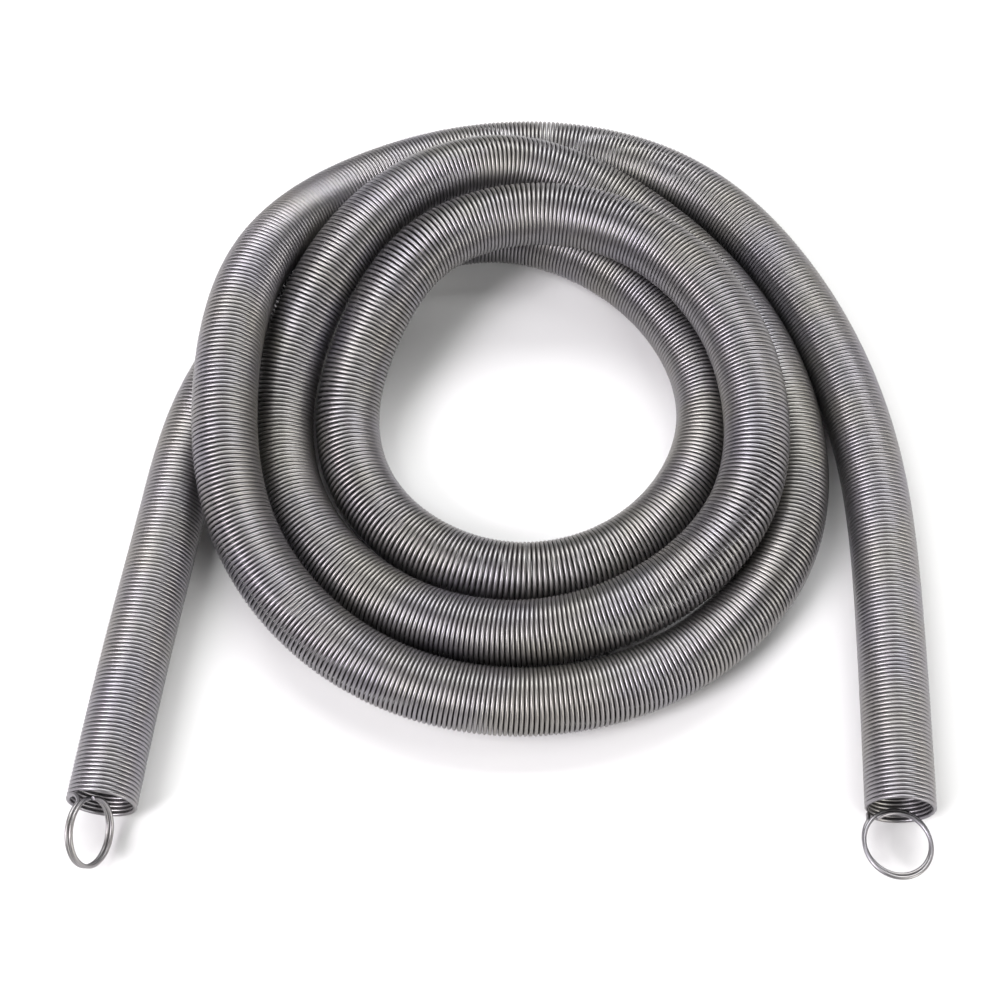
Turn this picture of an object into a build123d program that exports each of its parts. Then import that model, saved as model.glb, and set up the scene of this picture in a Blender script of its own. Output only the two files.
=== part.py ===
"""Demonstration spring: a long close-wound coil of steel wire, laid down in three loops.

The spring is one wire. Its coil, too fine to draw turn by turn, is a tube with the coil's outside and
bore. Its two ends are drawn as wire: the last turn of the coil, the bend out of it and the full loop.
"""

from build123d import *
import math
import os

# Wire and coil
COIL_DIAMETER = 19.0
WIRE_DIAMETER = 1.15
STRAND_GAP = 0.6
RUN_LENGTH = 16.0
LEAST_CORNER = 1.0
BORE_RUN_COUNT = 3

# Lay: the loops go round clockwise from above, and a strand's place is its bearing from the back,
# its spread out from the innermost radius and its lift off the table, both in strand pitches.
INNER_RADIUS = 48.0
LAY = (
    (-138.0, 5.84, 0.0),
    (-127.0, 4.18, 0.0),
    (-109.0, 2.82, 0.0),
    (-90.0, 2.23, 0.0),
    (-60.0, 1.64, 0.0),
    (-30.0, 1.17, 0.0),
    (0.0, 1.03, 0.0),
    (30.0, 0.79, 0.0),
    (60.0, 0.64, 0.0),
    (90.0, 0.58, 0.0),
    (120.0, 0.45, 0.0),
    (150.0, 0.33, 0.0),
    (180.0, 0.22, 0.0),
    (210.0, 0.11, 0.0),
    (240.0, 0.04, 0.0),
    (270.0, -0.01, 0.12),
    (300.0, -0.03, 0.62),
    (330.0, 0.23, 1.00),
    (360.0, 0.58, 1.03),
    (390.0, 0.83, 1.01),
    (420.0, 0.98, 0.95),
    (450.0, 1.14, 0.87),
    (480.0, 1.40, 0.69),
    (510.0, 1.34, 0.38),
    (540.0, 1.22, 0.12),
    (570.0, 1.12, 0.0),
    (600.0, 1.06, 0.0),
    (630.0, 0.99, 0.11),
    (660.0, 0.95, 0.77),
    (690.0, 1.30, 1.01),
    (720.0, 1.82, 0.74),
    (750.0, 1.80, 0.13),
    (780.0, 1.65, 0.0),
    (810.0, 1.80, 0.0),
    (840.0, 2.16, 0.0),
    (870.0, 2.26, 0.0),
    (900.0, 2.21, 0.0),
    (930.0, 2.13, 0.13),
    (960.0, 1.96, 0.51),
    (990.0, 1.73, 0.97),
    (1020.0, 1.95, 0.97),
    (1050.0, 2.29, 0.42),
    (1080.0, 2.69, 0.04),
    (1110.0, 2.83, 0.0),
    (1140.0, 2.64, 0.0),
    (1170.0, 2.84, 0.0),
    (1181.0, 3.08, 0.0),
    (1201.0, 3.90, 0.0),
    (1219.7, 5.74, 0.0),
)

# End loops: each leans out of its mouth by a swing to the side, a droop and a roll about its own length.
# Its second turn slips ahead of the first, in wire diameters. The coil is wound left-handed, so its last
# turn comes out clockwise and leaves at an angle round the mouth. It starts sunk in the coil's end and
# stands proud where it leaves, both in wire diameters.
LEFT_LOOP = {"swing": 8.5, "droop": -14.0, "roll": -70.0, "slip": 0.0, "leaves": 138.0}
RIGHT_LOOP = {"swing": 8.5, "droop": 0.0, "roll": -4.5, "slip": 1.0, "leaves": 212.0}
BEND_START = 70.0
BEND_PARTS = 5
LOOP_END = 765.0
LOOP_GAP = 0.05
LAST_TURN = 330.0
LAST_TURN_SUNK = 0.35
LAST_TURN_PROUD = 0.40
SEAT = 0.05
WIRE_SIDES = 8
CORNER = 15.0

COIL_RADIUS = COIL_DIAMETER / 2
BORE_RADIUS = COIL_RADIUS - WIRE_DIAMETER
MEAN_RADIUS = COIL_RADIUS - WIRE_DIAMETER / 2
STRAND_PITCH = COIL_DIAMETER + STRAND_GAP


def lay_point(bearing: float, spread: float, lift: float) -> Vector:
    """The middle of the strand at one place of the lay."""
    radius = INNER_RADIUS + spread * STRAND_PITCH
    turned = math.radians(bearing)
    height = COIL_RADIUS + lift * STRAND_PITCH
    return Vector(radius * math.sin(turned), radius * math.cos(turned), height)


def stations(points: list) -> list:
    """Even steps along the smooth line through the points, for straight runs joined by mitres.

    A step where the line hardly turns is left out, so that a straight stretch is one run.
    """
    line = Spline(*points, mode=Mode.PRIVATE)
    count = round(line.length / RUN_LENGTH)
    steps = [line.position_at(step / count) for step in range(count + 1)]
    kept = [steps[0]]
    for here, ahead in zip(steps[1:], steps[2:]):
        if (here - kept[-1]).get_angle(ahead - here) > LEAST_CORNER:
            kept.append(here)
    return kept + [steps[-1]]


def mouth_plane(mouth: Vector, behind: Vector) -> Plane:
    """The coil's end: z points out of the mouth, y points up and x points to its right."""
    outward = (mouth - behind).normalized()
    return Plane(origin=mouth, x_dir=Vector(0, 0, 1).cross(outward), z_dir=outward)


def end_loop_points(
    mouth: Plane, swing: float, droop: float, roll: float, slip: float, leaves: float
) -> list:
    """The wire's middle line: the coil's last turn, the bend out of it and the full loop of two turns."""
    axis = mouth.z_dir
    side = mouth.x_dir
    up = mouth.y_dir
    forward = axis.rotate(Axis((0, 0, 0), up), -swing).rotate(Axis((0, 0, 0), side), droop)
    across = side.rotate(Axis((0, 0, 0), up), -swing).rotate(Axis((0, 0, 0), forward), roll)
    normal = forward.cross(across)
    turn_radius = MEAN_RADIUS - SEAT

    def coil_at(angle: float) -> Vector:
        turned = math.radians(angle)
        behind = (LAST_TURN_SUNK + LAST_TURN_PROUD) * (angle - leaves) / LAST_TURN
        ahead = WIRE_DIAMETER * (LAST_TURN_PROUD - behind)
        return mouth.origin + side * (turn_radius * math.cos(turned)) \
            + up * (turn_radius * math.sin(turned)) + axis * ahead

    def loop_at(angle: float) -> Vector:
        turned = math.radians(angle)
        turn = (angle - BEND_START) / 360 - 0.5
        out = MEAN_RADIUS * (1 - math.cos(turned)) + slip * WIRE_DIAMETER * turn
        return mouth.origin + forward * out - across * (MEAN_RADIUS * math.sin(turned)) \
            + normal * ((WIRE_DIAMETER + LOOP_GAP) * turn)

    coil = [coil_at(leaves + LAST_TURN - CORNER * step) for step in range(int(LAST_TURN / CORNER) + 1)]
    steps = int((LOOP_END - BEND_START) / CORNER)
    loop = [loop_at(BEND_START + CORNER * step) for step in range(steps + 1)]
    bend = Spline(
        coil[-1],
        loop[0],
        tangents=[coil_at(leaves - 1) - coil_at(leaves + 1), loop_at(BEND_START + 1) - loop_at(BEND_START - 1)],
        mode=Mode.PRIVATE,
    )
    return coil + [bend.position_at(part / BEND_PARTS) for part in range(1, BEND_PARTS)] + loop


route = stations([lay_point(*place) for place in LAY])
left_mouth = mouth_plane(route[0], route[1])
right_mouth = mouth_plane(route[-1], route[-2])

with BuildPart() as left_end:
    with BuildLine():
        left_wire = Polyline(*end_loop_points(left_mouth, **LEFT_LOOP))
    with BuildSketch(Plane(origin=left_wire @ 0, z_dir=left_wire % 0)):
        RegularPolygon(WIRE_DIAMETER / 2, WIRE_SIDES)
    sweep(path=left_wire, transition=Transition.RIGHT)

with BuildPart() as right_end:
    with BuildLine():
        right_wire = Polyline(*end_loop_points(right_mouth, **RIGHT_LOOP))
    with BuildSketch(Plane(origin=right_wire @ 0, z_dir=right_wire % 0)):
        RegularPolygon(WIRE_DIAMETER / 2, WIRE_SIDES)
    sweep(path=right_wire, transition=Transition.RIGHT)

with BuildPart() as spring:
    with BuildLine():
        middle = Polyline(*route)
    with BuildSketch(Plane(origin=middle @ 0, z_dir=middle % 0)):
        Circle(COIL_RADIUS)
    sweep(path=middle, transition=Transition.RIGHT)
    for runs in (route[: BORE_RUN_COUNT + 1], route[: -BORE_RUN_COUNT - 2 : -1]):
        with BuildLine():
            bore_line = Polyline(*runs)
        with BuildSketch(Plane(origin=bore_line @ 0, z_dir=bore_line % 0)):
            Circle(BORE_RADIUS)
        sweep(path=bore_line, transition=Transition.RIGHT, mode=Mode.SUBTRACT)
    add(left_end.part)
    add(right_end.part)

# The origin is under the middle of the whole spring, on the table
box = spring.part.bounding_box()
spring.part.position = Vector(-(box.min.X + box.max.X) / 2, -(box.min.Y + box.max.Y) / 2, -box.min.Z)
spring.part.label = "spring"

os.makedirs("parts", exist_ok=True)
export_step(spring.part, "parts/spring.step")

# The turns touch on the inside of a bend and open on its outside
headings = [ahead - here for here, ahead in zip(route, route[1:])]
bending = math.radians(sum(here.get_angle(ahead) for here, ahead in zip(headings, headings[1:])))
turns = (middle.length - MEAN_RADIUS * bending) / WIRE_DIAMETER
print(f"length along the coil {middle.length:.0f} mm, about {turns:.0f} turns of wire")
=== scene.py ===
"""Demonstration spring: a long close-wound coil of bright steel wire, laid down in three loops.

The whole spring is one wire, wound left-handed. Its middle line is worked out from end to end: a
full loop of two turns, the bend into the coil, some 1,460 turns of coil along the lay, and the
other bend and loop. Lengths are metres.
"""

import logging
import math
from dataclasses import dataclass, field
from enum import Enum

import bpy
import numpy as np
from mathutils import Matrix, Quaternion, Vector


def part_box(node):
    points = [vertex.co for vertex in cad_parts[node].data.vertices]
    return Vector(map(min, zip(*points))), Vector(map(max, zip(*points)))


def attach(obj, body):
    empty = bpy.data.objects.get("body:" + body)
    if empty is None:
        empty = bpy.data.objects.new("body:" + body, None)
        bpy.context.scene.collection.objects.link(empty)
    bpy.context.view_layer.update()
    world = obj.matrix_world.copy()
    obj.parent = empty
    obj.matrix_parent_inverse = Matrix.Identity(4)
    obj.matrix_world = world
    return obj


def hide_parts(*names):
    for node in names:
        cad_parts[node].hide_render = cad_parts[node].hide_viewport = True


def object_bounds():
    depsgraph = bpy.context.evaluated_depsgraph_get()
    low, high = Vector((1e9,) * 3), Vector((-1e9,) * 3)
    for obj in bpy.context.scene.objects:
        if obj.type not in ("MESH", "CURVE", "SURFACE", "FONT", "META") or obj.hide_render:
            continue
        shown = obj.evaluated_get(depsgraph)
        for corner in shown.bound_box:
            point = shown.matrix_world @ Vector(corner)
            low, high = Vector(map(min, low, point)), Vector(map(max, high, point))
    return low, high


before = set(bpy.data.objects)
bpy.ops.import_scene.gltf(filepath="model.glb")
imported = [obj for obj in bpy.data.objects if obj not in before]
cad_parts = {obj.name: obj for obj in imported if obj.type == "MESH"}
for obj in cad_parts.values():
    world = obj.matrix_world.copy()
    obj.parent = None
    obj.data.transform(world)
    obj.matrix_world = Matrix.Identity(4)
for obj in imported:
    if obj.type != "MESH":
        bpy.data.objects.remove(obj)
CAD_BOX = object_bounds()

log = logging.getLogger("spring")

MM = 0.001
NODE = "spring"
SLOT = "steel_wire"
NOISE_MIDDLE = 0.5

# The lay, clockwise from above: bearing from the back in degrees, then spread from the innermost
# radius and lift off the table in strand pitches.
LAY = (
    (-138.0, 5.84, 0.0),
    (-127.0, 4.18, 0.0),
    (-109.0, 2.82, 0.0),
    (-90.0, 2.23, 0.0),
    (-60.0, 1.64, 0.0),
    (-30.0, 1.17, 0.0),
    (0.0, 1.03, 0.0),
    (30.0, 0.79, 0.0),
    (60.0, 0.64, 0.0),
    (90.0, 0.58, 0.0),
    (120.0, 0.45, 0.0),
    (150.0, 0.33, 0.0),
    (180.0, 0.22, 0.0),
    (210.0, 0.11, 0.0),
    (240.0, 0.04, 0.0),
    (270.0, -0.01, 0.12),
    (300.0, -0.03, 0.62),
    (330.0, 0.23, 1.00),
    (360.0, 0.58, 1.03),
    (390.0, 0.83, 1.01),
    (420.0, 0.98, 0.95),
    (450.0, 1.14, 0.87),
    (480.0, 1.40, 0.69),
    (510.0, 1.34, 0.38),
    (540.0, 1.22, 0.12),
    (570.0, 1.12, 0.0),
    (600.0, 1.06, 0.0),
    (630.0, 0.99, 0.11),
    (660.0, 0.95, 0.77),
    (690.0, 1.30, 1.01),
    (720.0, 1.82, 0.74),
    (750.0, 1.80, 0.13),
    (780.0, 1.65, 0.0),
    (810.0, 1.80, 0.0),
    (840.0, 2.16, 0.0),
    (870.0, 2.26, 0.0),
    (900.0, 2.21, 0.0),
    (930.0, 2.13, 0.13),
    (960.0, 1.96, 0.51),
    (990.0, 1.73, 0.97),
    (1020.0, 1.95, 0.97),
    (1050.0, 2.29, 0.42),
    (1080.0, 2.69, 0.04),
    (1110.0, 2.83, 0.0),
    (1140.0, 2.64, 0.0),
    (1170.0, 2.84, 0.0),
    (1181.0, 3.08, 0.0),
    (1201.0, 3.90, 0.0),
    (1219.7, 5.74, 0.0),
)


class Stretch(Enum):
    """A stretch of coil, one piece of the dressed spring, with the bearing at which it ends."""

    LEFT_LEG = 60.0
    INNER_LOOP = 390.0
    MIDDLE_LOOP = 720.0
    OUTER_LOOP = 1020.0
    RIGHT_LEG = 1220.0


class Side(Enum):
    """An end of the spring, with the sign of the way out of its mouth along the lay."""

    LEFT = -1.0
    RIGHT = 1.0


@dataclass(frozen=True)
class SpringSizes:
    """The spring's own sizes."""

    coil_diameter: float = 19.0 * MM
    wire_diameter: float = 1.15 * MM
    strand_gap: float = 0.6 * MM
    inner_radius: float = 48.0 * MM
    steps_per_turn: int = 28
    bevel_resolution: int = 2

    @property
    def mean_radius(self) -> float:
        """Radius of the wire's middle line round the coil."""
        return (self.coil_diameter - self.wire_diameter) / 2

    @property
    def strand_pitch(self) -> float:
        """Distance between the middles of two strands that lie side by side."""
        return self.coil_diameter + self.strand_gap


# ----------------------------------------------------------------------------------------- shaders


class Socket:
    """A shader output socket that takes part in Python arithmetic through Math nodes."""

    def __init__(self, shader: "Shader", value: object) -> None:
        """Keeps the shader that grows the Math nodes, and the wrapped output."""
        self.shader = shader
        self.value = value

    def _math(self, operation: str, first: object, second: object) -> "Socket":
        """Result of one Math node on two operands, each a socket or a number."""
        return self.shader.node("ShaderNodeMath", {"operation": operation}, {0: first, 1: second})

    def __add__(self, other: object) -> "Socket":
        """Sum."""
        return self._math("ADD", self, other)

    def __radd__(self, other: object) -> "Socket":
        """Reflected sum."""
        return self._math("ADD", other, self)

    def __sub__(self, other: object) -> "Socket":
        """Difference."""
        return self._math("SUBTRACT", self, other)

    def __rsub__(self, other: object) -> "Socket":
        """Reflected difference."""
        return self._math("SUBTRACT", other, self)

    def __mul__(self, other: object) -> "Socket":
        """Product."""
        return self._math("MULTIPLY", self, other)

    def __rmul__(self, other: object) -> "Socket":
        """Reflected product."""
        return self._math("MULTIPLY", other, self)


class Shader:
    """A material's node tree, built by calls."""

    def __init__(self, name: str) -> None:
        """Makes an empty material.

        Args:
            name: The material's name.
        """
        self.material = bpy.data.materials.new(name)
        self.material.use_nodes = True
        self.tree = self.material.node_tree
        self.tree.nodes.clear()

    def node(self, kind: str, settings: dict, inputs: dict, output: object = 0) -> Socket:
        """Adds a node.

        Args:
            kind: The node's type.
            settings: Properties to set first, such as an operation.
            inputs: Values or sockets by input name or index.
            output: Name or index of the output that is wanted.

        Returns:
            That output.
        """
        made = self.tree.nodes.new(kind)
        for key, value in settings.items():
            if key == "stops":
                ramp = made.color_ramp
                while len(ramp.elements) < len(value):
                    ramp.elements.new(0.5)
                for stop, (place, colour) in zip(ramp.elements, value):
                    stop.position = place
                    stop.color = (*colour, 1.0)
            else:
                setattr(made, key, value)
        for key, value in inputs.items():
            if isinstance(value, Socket):
                self.tree.links.new(value.value, made.inputs[key])
            else:
                made.inputs[key].default_value = value
        return Socket(self, made.outputs[output] if made.outputs else made)

    def finish(self, surface: Socket) -> bpy.types.Material:
        """Joins the surface to the output, and gives the finished material."""
        self.node("ShaderNodeOutputMaterial", {}, {"Surface": surface})
        return self.material


@dataclass(frozen=True)
class SteelWireFinish:
    """Drawn spring steel: bright, a little uneven in tint, with faint marks of the winding die."""

    warm: tuple[float, float, float] = (0.272, 0.263, 0.25)
    cool: tuple[float, float, float] = (0.258, 0.25, 0.27)
    roughness: float = 0.4
    tint_scale: float = 38.0
    tint_detail: float = 3.0
    tint_stops: tuple[float, float] = (0.35, 0.65)
    tint_roughness: float = 0.08
    mark_scale: float = 900.0
    mark_detail: float = 4.0
    mark_strength: float = 0.5
    mark_depth: float = 0.02 * MM
    mark_roughness: float = 0.16

    def make(self) -> bpy.types.Material:
        """Builds the material.

        Returns:
            The material.
        """
        shader = Shader(SLOT)
        place = shader.node("ShaderNodeTexCoord", {}, {}, "Object")
        cloud = shader.node(
            "ShaderNodeTexNoise",
            {},
            {"Vector": place, "Scale": self.tint_scale, "Detail": self.tint_detail},
        )
        marks = shader.node(
            "ShaderNodeTexNoise",
            {},
            {"Vector": place, "Scale": self.mark_scale, "Detail": self.mark_detail},
        )
        tint = shader.node(
            "ShaderNodeValToRGB",
            {"stops": tuple(zip(self.tint_stops, (self.cool, self.warm)))},
            {"Fac": cloud},
            "Color",
        )
        bump = shader.node(
            "ShaderNodeBump",
            {},
            {"Strength": self.mark_strength, "Distance": self.mark_depth, "Height": marks},
        )
        roughness = (
            self.roughness
            + self.mark_roughness * (marks - NOISE_MIDDLE)
            + self.tint_roughness * (cloud - NOISE_MIDDLE)
        )
        steel = shader.node(
            "ShaderNodeBsdfPrincipled",
            {},
            {"Base Color": tint, "Metallic": 1.0, "Roughness": roughness, "Normal": bump},
        )
        return shader.finish(steel)


@dataclass(frozen=True)
class PaleFloorFinish:
    """A plain, nearly white table."""

    colour: tuple[float, float, float] = (0.67, 0.67, 0.67)
    roughness: float = 0.7
    grain_scale: float = 60.0
    grain_detail: float = 2.0
    grain_roughness: float = 0.1

    def make(self) -> bpy.types.Material:
        """Builds the material.

        Returns:
            The material.
        """
        shader = Shader("pale_floor")
        place = shader.node("ShaderNodeTexCoord", {}, {}, "Object")
        grain = shader.node(
            "ShaderNodeTexNoise",
            {},
            {"Vector": place, "Scale": self.grain_scale, "Detail": self.grain_detail},
        )
        matt = shader.node(
            "ShaderNodeBsdfPrincipled",
            {},
            {
                "Base Color": (*self.colour, 1.0),
                "Roughness": self.roughness + self.grain_roughness * (grain - NOISE_MIDDLE),
            },
        )
        return shader.finish(matt)


# ------------------------------------------------------------------------------------------ shapes


def smooth_line(points: np.ndarray, step: float) -> np.ndarray:
    """The natural cubic line through points, sampled at even steps.

    Args:
        points: The points, one to a row.
        step: The distance between samples.

    Returns:
        The samples, one to a row.
    """
    chord = np.linalg.norm(np.diff(points, axis=0), axis=1)
    knots = np.concatenate(([0.0], np.cumsum(chord)))
    count = len(points)
    system = np.zeros((count, count))
    right = np.zeros_like(points)
    system[0, 0] = system[-1, -1] = 1.0
    for row in range(1, count - 1):
        before, after = chord[row - 1], chord[row]
        system[row, row - 1 : row + 2] = before, 2 * (before + after), after
        rise = (points[row + 1] - points[row]) / after - (points[row] - points[row - 1]) / before
        right[row] = 6 * rise
    second = np.linalg.solve(system, right)
    at = np.linspace(0.0, knots[-1], round(knots[-1] / step) + 1)
    span = np.clip(np.searchsorted(knots, at, side="right") - 1, 0, count - 2)
    width = chord[span][:, None]
    ahead = (at - knots[span])[:, None]
    left = width - ahead
    return (
        second[span] * left**3 / (6 * width)
        + second[span + 1] * ahead**3 / (6 * width)
        + (points[span] / width - second[span] * width / 6) * left
        + (points[span + 1] / width - second[span + 1] * width / 6) * ahead
    )


def unit(rows: np.ndarray) -> np.ndarray:
    """Each row at length one."""
    return rows / np.linalg.norm(rows, axis=-1, keepdims=True)


@dataclass
class Strand:
    """The middle line of the coil as it lies, with what is needed at each point of it."""

    sizes: SpringSizes
    step: float = 0.25 * MM
    middle: np.ndarray = field(init=False)
    along: np.ndarray = field(init=False)
    ahead: np.ndarray = field(init=False)
    side: np.ndarray = field(init=False)
    up: np.ndarray = field(init=False)
    turns: np.ndarray = field(init=False)
    bearings: np.ndarray = field(init=False)

    def __post_init__(self) -> None:
        """Lays the line out and counts the turns along it."""
        lay = np.array(LAY)
        radius = self.sizes.inner_radius + lay[:, 1] * self.sizes.strand_pitch
        turned = np.radians(lay[:, 0])
        height = self.sizes.coil_diameter / 2 + lay[:, 2] * self.sizes.strand_pitch
        points = np.column_stack((radius * np.sin(turned), radius * np.cos(turned), height))
        self.middle = smooth_line(points, self.step)
        steps = np.linalg.norm(np.diff(self.middle, axis=0), axis=1)
        self.along = np.concatenate(([0.0], np.cumsum(steps)))
        self.ahead = unit(np.gradient(self.middle, self.along, axis=0))
        self.side = unit(np.cross((0.0, 0.0, 1.0), self.ahead))
        self.up = np.cross(self.ahead, self.side)
        bend = np.linalg.norm(np.gradient(self.ahead, self.along, axis=0), axis=1)
        density = (1 - self.sizes.mean_radius * bend) / self.sizes.wire_diameter
        self.turns = np.concatenate(([0.0], np.cumsum((density[1:] + density[:-1]) / 2 * steps)))
        plan = np.unwrap(np.arctan2(self.middle[:, 0], self.middle[:, 1]))
        self.bearings = np.degrees(plan - plan[0]) + lay[0, 0]

    def turn_at(self, bearing: float) -> float:
        """How many turns of wire lie before a bearing."""
        return float(np.interp(bearing, self.bearings, self.turns))

    def wire(self, start: float, stretch: float, first: float, last: float) -> np.ndarray:
        """The wire's middle line over some turns.

        Args:
            start: The wire's angle round the coil, in radians, at its very start.
            stretch: Real turns for each counted turn, so that the last ends at the right angle.
            first: The counted turn where it begins.
            last: The counted turn where it ends.

        Returns:
            Points along the wire, one to a row.
        """
        real = np.array((first, last)) * stretch
        steps = self.sizes.steps_per_turn
        grid = np.arange(math.ceil(real[0] * steps), math.floor(real[1] * steps) + 1) / steps
        grid = np.unique(np.concatenate(((real[0],), grid, (real[1],))).round(6))
        place = np.interp(grid / stretch, self.turns, self.along)
        angle = (start - 2 * np.pi * grid)[:, None]
        middle, side, up = (
            np.column_stack([np.interp(place, self.along, rows[:, axis]) for axis in range(3)])
            for rows in (self.middle, self.side, self.up)
        )
        return middle + self.sizes.mean_radius * (np.cos(angle) * side + np.sin(angle) * up)


@dataclass
class EndLoop:
    """The full loop of two turns at one end, with the bend that joins it to the coil."""

    sizes: SpringSizes
    side: Side
    swing: float
    droop: float
    roll: float
    slip: float
    leaves: float
    bend_start: float = 70.0
    loop_end: float = 765.0
    loop_gap: float = 0.05 * MM
    corner: float = 6.0
    bend_steps: int = 24

    def line(self, strand: Strand) -> np.ndarray:
        """The wire's middle line from the mouth to the wire's tip.

        Args:
            strand: The coil that the loop ends.

        Returns:
            Points along the wire, one to a row.
        """
        place = 0 if self.side is Side.LEFT else -1
        origin = Vector(strand.middle[place])
        axis = Vector(strand.ahead[place]) * self.side.value
        up = Vector(strand.up[place])
        right = up.cross(axis)
        turn = Vector(up), math.radians(-self.swing)
        forward = self._turned(self._turned(axis, *turn), right, math.radians(self.droop))
        across = self._turned(self._turned(right, *turn), forward, math.radians(self.roll))
        normal = forward.cross(across)
        radius = self.sizes.mean_radius
        rise = self.sizes.wire_diameter + self.loop_gap

        def coil_at(angle: float) -> Vector:
            """The wire's middle where it leaves the coil.

            Args:
                angle: Degrees round the mouth.

            Returns:
                The point there.
            """
            turned = math.radians(angle)
            ahead = self.sizes.wire_diameter * (self.leaves - angle) / 360
            return (
                origin
                + right * (radius * math.cos(turned))
                + up * (radius * math.sin(turned))
                + axis * ahead
            )

        def loop_at(angle: float) -> Vector:
            """The wire's middle on the full loop.

            Args:
                angle: Degrees round the loop, from the mouth.

            Returns:
                The point there.
            """
            turned = math.radians(angle)
            turn = (angle - self.bend_start) / 360 - 0.5
            out = radius * (1 - math.cos(turned)) + self.slip * self.sizes.wire_diameter * turn
            return (
                origin
                + forward * out
                - across * (radius * math.sin(turned))
                + normal * (rise * turn)
            )

        start, end = coil_at(self.leaves), loop_at(self.bend_start)
        reach = (end - start).length
        leaving = (coil_at(self.leaves - 1) - coil_at(self.leaves + 1)).normalized() * reach
        meeting = (loop_at(self.bend_start + 1) - loop_at(self.bend_start - 1)).normalized() * reach
        bend = []
        for step in range(self.bend_steps):
            at = step / self.bend_steps
            bend.append(
                start * (2 * at**3 - 3 * at**2 + 1)
                + leaving * (at**3 - 2 * at**2 + at)
                + end * (3 * at**2 - 2 * at**3)
                + meeting * (at**3 - at**2)
            )
        angles = np.arange(self.bend_start, self.loop_end + self.corner / 2, self.corner)
        loop = [loop_at(float(angle)) for angle in angles]
        return np.array([tuple(point) for point in bend + loop])

    @staticmethod
    def _turned(vector: Vector, about: Vector, angle: float) -> Vector:
        """A vector turned about another by an angle in radians."""
        return Quaternion(about, angle) @ vector


@dataclass
class Spring:
    """The whole spring, as pieces of one wire."""

    sizes: SpringSizes = field(default_factory=SpringSizes)

    def build(self, steel: bpy.types.Material) -> list[bpy.types.Object]:
        """Models the wire from end to end, seats it in its node's box and dresses it.

        Args:
            steel: The wire's material.

        Returns:
            The pieces.
        """
        strand = Strand(self.sizes)
        left = EndLoop(
            self.sizes, Side.LEFT, swing=8.5, droop=-14.0, roll=-70.0, slip=0.0, leaves=138.0
        )
        right = EndLoop(
            self.sizes, Side.RIGHT, swing=8.5, droop=0.0, roll=-4.5, slip=1.0, leaves=212.0
        )
        start = math.pi - math.radians(left.leaves)
        counted = strand.turns[-1]
        part_turn = (start - math.radians(right.leaves)) / (2 * math.pi) % 1.0
        real = round(counted - part_turn) + part_turn
        lines = {"left_end_loop": left.line(strand)}
        first = 0.0
        for stretch in Stretch:
            last = min(strand.turn_at(stretch.value), counted)
            lines[stretch.name.lower()] = strand.wire(start, real / counted, first, last)
            first = last
        lines["right_end_loop"] = right.line(strand)
        log.info("%.0f turns of wire on %.0f mm of coil", real, strand.along[-1] / MM)
        return [self._piece(name, line, steel) for name, line in self._seated(lines).items()]

    def _seated(self, lines: dict[str, np.ndarray]) -> dict[str, np.ndarray]:
        """Moves the wire so that it stands in the middle of its node's box, on the same table.

        Args:
            lines: The wire's middle line, by piece.

        Returns:
            The same lines, moved.
        """
        low, high = (np.array(corner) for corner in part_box(NODE))
        joined = np.concatenate(list(lines.values()))
        shift = (low + high) / 2 - (joined.min(axis=0) + joined.max(axis=0)) / 2
        shift[2] = low[2] + self.sizes.wire_diameter / 2 - joined[:, 2].min()
        return {name: line + shift for name, line in lines.items()}

    def _piece(self, name: str, line: np.ndarray, steel: bpy.types.Material) -> bpy.types.Object:
        """Draws round wire along a line.

        Args:
            name: The piece's name.
            line: The wire's middle line, one point to a row.
            steel: The wire's material.

        Returns:
            The piece.
        """
        curve = bpy.data.curves.new(name, "CURVE")
        curve.dimensions = "3D"
        curve.bevel_depth = self.sizes.wire_diameter / 2
        curve.bevel_resolution = self.sizes.bevel_resolution
        curve.use_fill_caps = True
        spline = curve.splines.new("POLY")
        spline.points.add(len(line) - 1)
        spline.points.foreach_set("co", np.column_stack((line, np.ones(len(line)))).ravel())
        spline.use_smooth = True
        piece = bpy.data.objects.new(name, curve)
        bpy.context.scene.collection.objects.link(piece)
        bpy.ops.object.select_all(action="DESELECT")
        piece.select_set(True)
        bpy.context.view_layer.objects.active = piece
        bpy.ops.object.convert(target="MESH")
        piece = bpy.context.object
        piece.data.materials.clear()
        piece.data.materials.append(steel)
        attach(piece, "root")
        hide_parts(NODE)
        log.info("%s: %d points, %d faces", name, len(line), len(piece.data.polygons))
        return piece


class Tint(Enum):
    """The colour of a lamp."""

    NEUTRAL = (1.0, 1.0, 1.0)
    COOL = (1.0, 0.95, 1.0)
    WARM = (1.0, 0.97, 0.91)


@dataclass(frozen=True)
class Softbox:
    """A large soft lamp that faces the spring. Its bearing goes from the front to the right."""

    name: str
    bearing: float
    elevation: float
    width: float
    height: float
    brightness: float
    tint: Tint = Tint.NEUTRAL
    distance: float = 3.0

    def place(self, target: Vector) -> None:
        """Hangs the lamp.

        Args:
            target: The point that it faces.
        """
        lamp = bpy.data.lights.new(self.name, "AREA")
        lamp.shape = "RECTANGLE"
        lamp.size, lamp.size_y = self.width, self.height
        lamp.energy = math.pi * self.width * self.height * self.brightness
        lamp.color = self.tint.value
        turned, rise = math.radians(self.bearing), math.radians(self.elevation)
        away = Vector(
            (math.sin(turned) * math.cos(rise), -math.cos(turned) * math.cos(rise), math.sin(rise))
        )
        stand = bpy.data.objects.new(self.name, lamp)
        stand.location = target + away * self.distance
        stand.rotation_euler = (-away).to_track_quat("-Z", "Y").to_euler()
        bpy.context.scene.collection.objects.link(stand)


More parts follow.
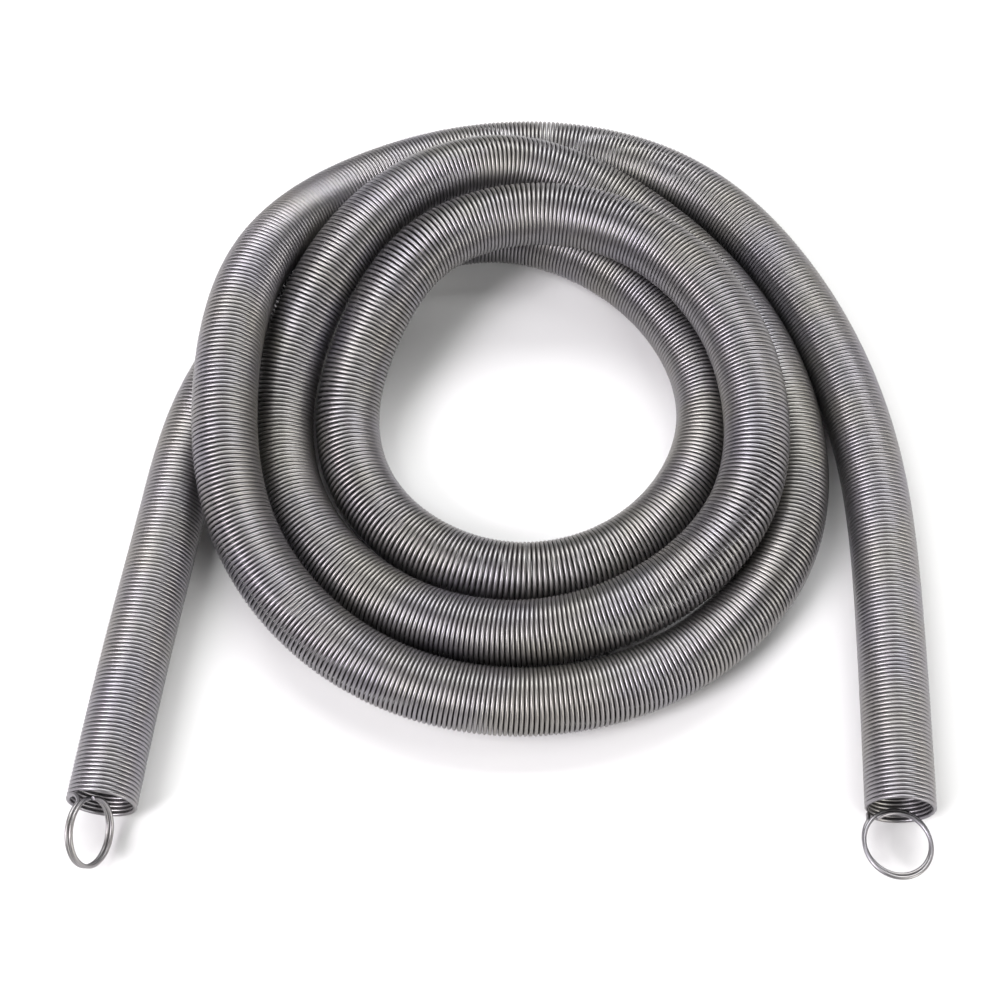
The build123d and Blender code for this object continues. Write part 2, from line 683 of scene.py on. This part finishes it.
@dataclass
class Studio:
    """The table, the lights and the camera."""

    target: Vector = field(default_factory=lambda: Vector((-0.0019, -0.0074, 0.0)))
    elevation: float = 61.0
    distance: float = 0.543
    lens: float = 65.9
    sensor_width: float = 36.0
    nearest: float = 0.01
    floor_size: float = 14.0
    room_brightness: float = 0.04
    softboxes: tuple[Softbox, ...] = (
        Softbox("high_left", 300.0, 62.0, 1.05, 1.05, 8.5),
        Softbox("front_left", 304.0, 38.0, 1.12, 1.12, 20.0, Tint.COOL),
        Softbox("low_left", 270.0, 24.0, 1.05, 2.25, 2.4, Tint.COOL),
        Softbox("front_right", 45.0, 12.0, 1.05, 1.05, 9.5, Tint.WARM),
        Softbox("front", 40.0, 37.0, 1.05, 1.05, 8.0),
        Softbox("low_right", 90.0, 12.0, 1.05, 1.05, 3.8, Tint.WARM),
        Softbox("back", 180.0, 52.0, 3.25, 1.05, 8.2),
        Softbox("back_right", 150.0, 28.0, 1.05, 1.05, 5.0),
        Softbox("overhead", 120.0, 66.0, 1.05, 1.05, 3.5),
    )

    def build(self) -> None:
        """Sets everything up."""
        self._floor()
        self._world()
        for softbox in self.softboxes:
            softbox.place(self.target)
        self._camera()

    def _floor(self) -> None:
        """A plain pale table top."""
        bpy.ops.object.select_all(action="DESELECT")
        on_table = (0.0, 0.0, CAD_BOX[0][2])
        bpy.ops.mesh.primitive_plane_add(size=self.floor_size, location=on_table)
        floor = bpy.context.object
        floor.name = "floor"
        floor.data.materials.append(PaleFloorFinish().make())

    def _world(self) -> None:
        """A dim room, shown in plain colours so that the table stays white."""
        world = bpy.data.worlds.new("studio")
        world.use_nodes = True
        sky = world.node_tree.nodes["Background"]
        sky.inputs["Color"].default_value = (1.0, 1.0, 1.0, 1.0)
        sky.inputs["Strength"].default_value = self.room_brightness
        bpy.context.scene.world = world
        bpy.context.scene.view_settings.view_transform = "Standard"

    def _camera(self) -> None:
        """The camera, which looks down on the spring from the side of its ends."""
        lens = bpy.data.cameras.new("camera")
        lens.lens = self.lens
        lens.sensor_width = self.sensor_width
        lens.clip_start = self.nearest
        camera = bpy.data.objects.new("camera", lens)
        rise = math.radians(self.elevation)
        away = Vector((0.0, -math.cos(rise), math.sin(rise)))
        camera.location = self.target + away * self.distance
        camera.rotation_euler = (-away).to_track_quat("-Z", "Y").to_euler()
        bpy.context.scene.collection.objects.link(camera)
        bpy.context.scene.camera = camera


def main() -> None:
    """Builds the spring and the studio."""
    logging.basicConfig(level=logging.INFO, format="%(name)s: %(message)s")
    Spring().build(SteelWireFinish().make())
    Studio().build()


if __name__ == "__main__":
    main()
